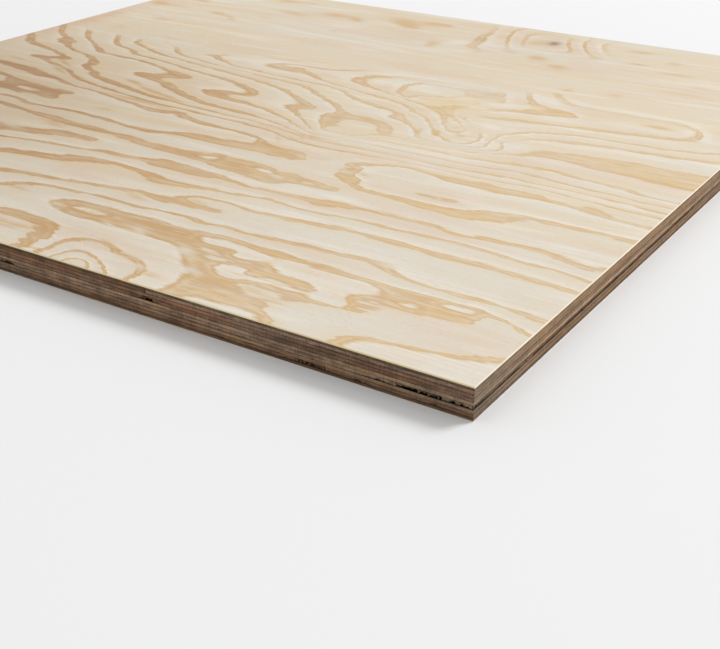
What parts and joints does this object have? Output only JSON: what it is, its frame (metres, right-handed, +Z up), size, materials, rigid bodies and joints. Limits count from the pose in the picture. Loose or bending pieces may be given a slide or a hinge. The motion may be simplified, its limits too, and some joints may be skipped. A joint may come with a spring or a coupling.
{
  "type": "plywood sheet",
  "caption": "Square-cut sheet of pine plywood: crossed veneers glued under a pale, figured face, with plies and core gaps showing on its sawn edges.",
  "frame": {"origin": "centre of the underside, on the floor that the sheet lies on", "axes": "+X runs along the face grain to the right, +Y runs from the front edge to the back edge, +Z points up out of the face veneer"},
  "size_m": [0.655, 0.625, 0.018],
  "materials": {
    "face_veneer": "pale sanded pine, unfinished, cream with tan growth rings",
    "back_veneer": "sanded pine of a plainer grade, unfinished",
    "core_veneer": "sawn edge of pine veneer, grain along X, matte",
    "crossband": "sawn edge of pine veneer, grain along Y, matte"
  },
  "bodies": {
    "root": {"face_veneer": "face_veneer", "crossband_1_left": "crossband", "crossband_1_right": "crossband", "core_veneer_1": "core_veneer", "crossband_2": "crossband", "centre_veneer": "core_veneer", "crossband_3": "crossband", "core_veneer_2": "core_veneer", "crossband_4": "crossband", "back_veneer": "back_veneer"}
  },
  "joints": []
}
